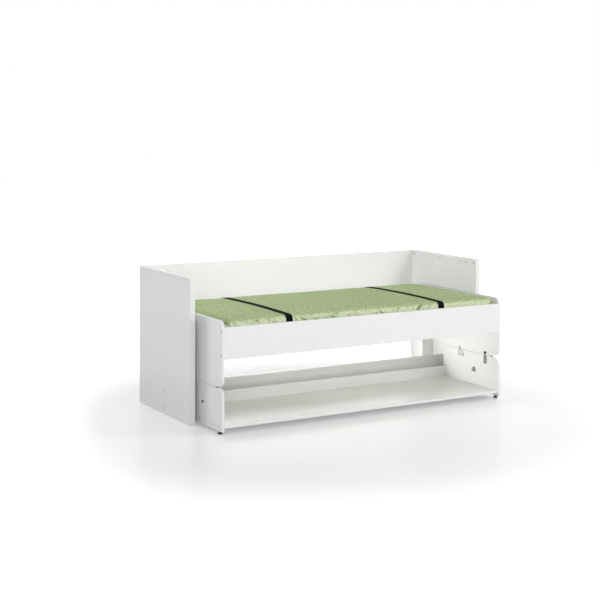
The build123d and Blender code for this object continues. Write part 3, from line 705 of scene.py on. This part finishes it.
def crease(cover):
    """Presses creases into the cover's upper edges, along its normals, and tucks in the ends'
    edges. One attribute keeps each point's painted shade: how deep it lies in the creases, and a
    painted shadow line along the ends' upper edges. The attribute side keeps how far it faces
    sideways."""
    points = read_points(cover.data)
    normals = read_points(cover.data, "normal")
    x, y, z = (points - cover_middle).T
    shaded = np.zeros(len(points))
    rng = np.random.default_rng(CREASE_SEED)
    for side in (-1, 1):
        drop = (cover_half[2] - z) - (cover_half[1] - side * y)
        depth = crease_depth(x, drop, rng, 2 * cover_half[0]) * strap_ease(x)
        if side < 0:
            depth += sum(valley(x, drop, *row) for row in LONG_CREASES)
        shaded += depth
        points -= normals * depth[:, None]
        drop = (cover_half[2] - z) - (cover_half[0] - END_PULL - side * x)
        depth = crease_depth(y, drop, rng, 2 * cover_half[1])
        # Painted shade: the creases' depth plus a painted shadow line just below the ends' upper
        # edges
        shaded += depth + SHADED_DEPTH * np.exp(-(((drop - END_SHADE_DROP) / END_SHADE_REACH) ** 2))
        depth += END_TUCK * np.exp(-((drop / END_TUCK_REACH) ** 2))
        points -= normals * depth[:, None]
    write_points(cover.data, points)
    keep_on_points(cover.data, "painted_shade", shaded / SHADED_DEPTH)
    keep_on_points(cover.data, "side", (TOP_TILT - np.abs(normals[:, 2])) / SIDE_BLEND)


def make_cover():
    """The mattress in its cover, as one closed piece."""
    flat, faces = box_grid(cover_half, COVER_STEP)
    points = cover_points(flat) + cover_middle
    fabric = MATERIALS["green_fabric"]
    cover = new_piece("mattress_cover", points, faces, fabric, "bed")
    merge_points(cover)
    loosen(cover)
    refine(cover)
    crease(cover)
    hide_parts("mattress")


# Straps


def strap_path():
    """Line of a strap's middle, as (y, z) pairs: up the front side, round the edge, over the crown
    and down behind. It is an upright, an arc, a parabola and their mirror image."""
    share = strap_middle / (cover_half[0] - COVER_END_LENGTH)
    half_y = cover_half[1] - COVER_DRAW * (1 - share**2)
    gap = STRAP_CLEARANCE + STRAP_THICKNESS / 2
    top = cover_middle[2] + cover_half[2]
    turn = np.linspace(0, math.pi / 2, STRAP_BEND_POINTS)
    foot = cover_low[2] + COVER_FOOT_RADIUS
    rise = np.linspace(foot, top - STRAP_BEND, STRAP_RISE_POINTS)[:-1]
    flat = np.linspace(STRAP_BEND - half_y, 0, STRAP_TOP_POINTS)[1:]
    upright = np.stack([np.full_like(rise, -half_y - gap), rise], axis=1)
    corner_y = -half_y + STRAP_BEND - (STRAP_BEND + gap) * np.cos(turn)
    corner_crown = crown_height(share, np.clip(corner_y, -half_y, 0) / half_y)
    corner_z = top - STRAP_BEND + (STRAP_BEND + gap + corner_crown) * np.sin(turn)
    corner = np.stack([corner_y, corner_z], axis=1)
    over = np.stack([flat, top + gap + crown_height(share, flat / half_y)], axis=1)
    half = np.concatenate([upright, corner, over])
    back = half[::-1][1:] * (-1, 1)
    return np.concatenate([half, back]) + (cover_middle[1], 0)


def strap_rim():
    """Cross-section of the webbing, as (across, up) pairs: a flat band with half-round edges."""
    edge = STRAP_THICKNESS / 2
    angle = np.linspace(-math.pi / 2, math.pi / 2, RIM_ROUND_POINTS)
    inner = STRAP_WIDTH / 2 - edge
    right = np.stack([inner + edge * np.cos(angle), edge * np.sin(angle)], axis=1)
    flat = np.linspace(inner, -inner, RIM_FLAT_POINTS)[1:-1]
    top = np.stack([flat, np.full_like(flat, edge)], axis=1)
    return np.concatenate([right, top, -right, -top])


def make_strap(side, name):
    """A strap: the webbing's rim carried along the path, square to it, with both ends closed. Its
    UV map is the way along the strap and across it, in metres."""
    path = strap_path()
    ahead = np.gradient(path, axis=0)
    ahead /= np.linalg.norm(ahead, axis=1, keepdims=True)
    lift = np.stack([-ahead[:, 1], ahead[:, 0]], axis=1)
    rim = strap_rim()
    across = side * strap_middle + np.broadcast_to(rim[:, 0], (len(path), len(rim)))
    line = path[:, None, :] + lift[:, None, :] * rim[None, :, 1, None]
    points = np.concatenate([across[..., None], line], axis=2)
    points = np.concatenate([points, points[:, :1]], axis=1)
    rows, columns = points.shape[:2]
    faces = grid_faces(rows, columns)
    webbing = MATERIALS["black_webbing"]
    piece = new_piece(name, points.reshape(-1, 3), faces, webbing, "bed")
    way = np.concatenate([[0], np.cumsum(np.linalg.norm(np.diff(path, axis=0), axis=1))])
    along = np.broadcast_to(way[:, None], (rows, columns)).ravel()
    over = np.broadcast_to(np.append(rim[:, 0], rim[0, 0])[None, :], (rows, columns)).ravel()
    corners = np.empty(len(piece.data.loops), dtype=np.int64)
    piece.data.loops.foreach_get("vertex_index", corners)
    layer = piece.data.uv_layers.new(name="strap")
    layer.data.foreach_set("uv", np.stack([along[corners], over[corners]], axis=1).ravel())
    merge_points(piece)
    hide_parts(name.replace("webbing", "strap"))


make_cover()
make_strap(-1, "webbing_left")
make_strap(1, "webbing_right")


# Floor, lamps and camera


def make_floor():
    """A plain pale floor with a dull shine. To the camera it glows more with distance, so that it
    meets the white background, and it keeps the shadows."""
    mesh = bpy.data.meshes.new("floor")
    corners = [(FLOOR_HALF * x, FLOOR_HALF * y, 0) for x, y in ((-1, -1), (1, -1), (1, 1), (-1, 1))]
    mesh.from_pydata(corners, [], [(0, 1, 2, 3)])
    floor = bpy.data.objects.new("floor", mesh)
    bpy.context.scene.collection.objects.link(floor)
    material, tree, shader = new_material("pale floor")
    shader.inputs["Base Color"].default_value = (FLOOR_COLOUR, FLOOR_COLOUR, FLOOR_COLOUR, 1)
    shader.inputs["Roughness"].default_value = FLOOR_ROUGHNESS
    reach = tree.nodes.new("ShaderNodeVectorMath")
    reach.operation = "DISTANCE"
    reach.inputs[1].default_value = FLOOR_GLOW_MIDDLE
    link(tree, object_place(tree), reach.inputs[0])
    glows = (FLOOR_GLOW_NEAR, FLOOR_GLOW_FAR)
    strength = spread(tree, reach.outputs["Value"], *FLOOR_GLOW_REACH, *glows)
    strength.node.interpolation_type = "SMOOTHSTEP"
    glow = tree.nodes.new("ShaderNodeEmission")
    rays = tree.nodes.new("ShaderNodeLightPath")
    seen = arithmetic(tree, "MAXIMUM", rays.outputs["Is Camera Ray"], rays.outputs["Is Glossy Ray"])
    link(tree, arithmetic(tree, "MULTIPLY", seen, strength), glow.inputs["Strength"])
    both = tree.nodes.new("ShaderNodeAddShader")
    link(tree, shader.outputs["BSDF"], both.inputs[0])
    link(tree, glow.outputs["Emission"], both.inputs[1])
    link(tree, both.outputs["Shader"], tree.nodes["Material Output"].inputs["Surface"])
    mesh.materials.append(material)


def make_world():
    """Even pale light all round, shown as plain white to the camera and in reflections."""
    world = bpy.data.worlds.new("studio")
    bpy.context.scene.world = world
    world.use_nodes = True
    tree = world.node_tree
    background = tree.nodes["Background"]
    background.inputs["Color"].default_value = (1, 1, 1, 1)
    rays = tree.nodes.new("ShaderNodeLightPath")
    seen = arithmetic(tree, "MAXIMUM", rays.outputs["Is Camera Ray"], rays.outputs["Is Glossy Ray"])
    seen = arithmetic(tree, "MAXIMUM", seen, rays.outputs["Is Transmission Ray"])
    link(tree, spread(tree, seen, 0, 1, WORLD_LIGHT, 1.0), background.inputs["Strength"])


def make_lamp(name, place, aim, size, power, beam=180):
    """A soft lamp at place that faces aim. Its size is its width and height, and its beam is in
    degrees."""
    data = bpy.data.lights.new(name, "AREA")
    data.shape = "RECTANGLE"
    data.size, data.size_y = size
    data.energy = power
    data.spread = math.radians(beam)
    lamp = bpy.data.objects.new(name, data)
    bpy.context.scene.collection.objects.link(lamp)
    lamp.location = place
    way = np.array(aim) - np.array(place)
    lamp.rotation_euler = (
        math.atan2(math.hypot(way[0], way[1]), -way[2]),
        0,
        math.atan2(way[1], way[0]) - math.pi / 2,
    )


def make_camera():
    """The camera, level, with its view shifted down to the photograph's framing."""
    data = bpy.data.cameras.new("camera")
    data.sensor_width = SENSOR_WIDTH
    data.lens = SENSOR_WIDTH * FOCAL_PIXELS / IMAGE_PIXELS
    data.shift_y = (HORIZON_PIXEL - IMAGE_PIXELS / 2) / IMAGE_PIXELS
    camera = bpy.data.objects.new("camera", data)
    camera.location = CAMERA_PLACE
    camera.rotation_euler = (math.pi / 2, 0, CAMERA_TURN)
    bpy.context.scene.collection.objects.link(camera)
    bpy.context.scene.camera = camera


make_floor()
make_world()
for lamp in LAMPS:
    make_lamp(*lamp)
make_camera()

bpy.context.scene.view_settings.view_transform = "Standard"
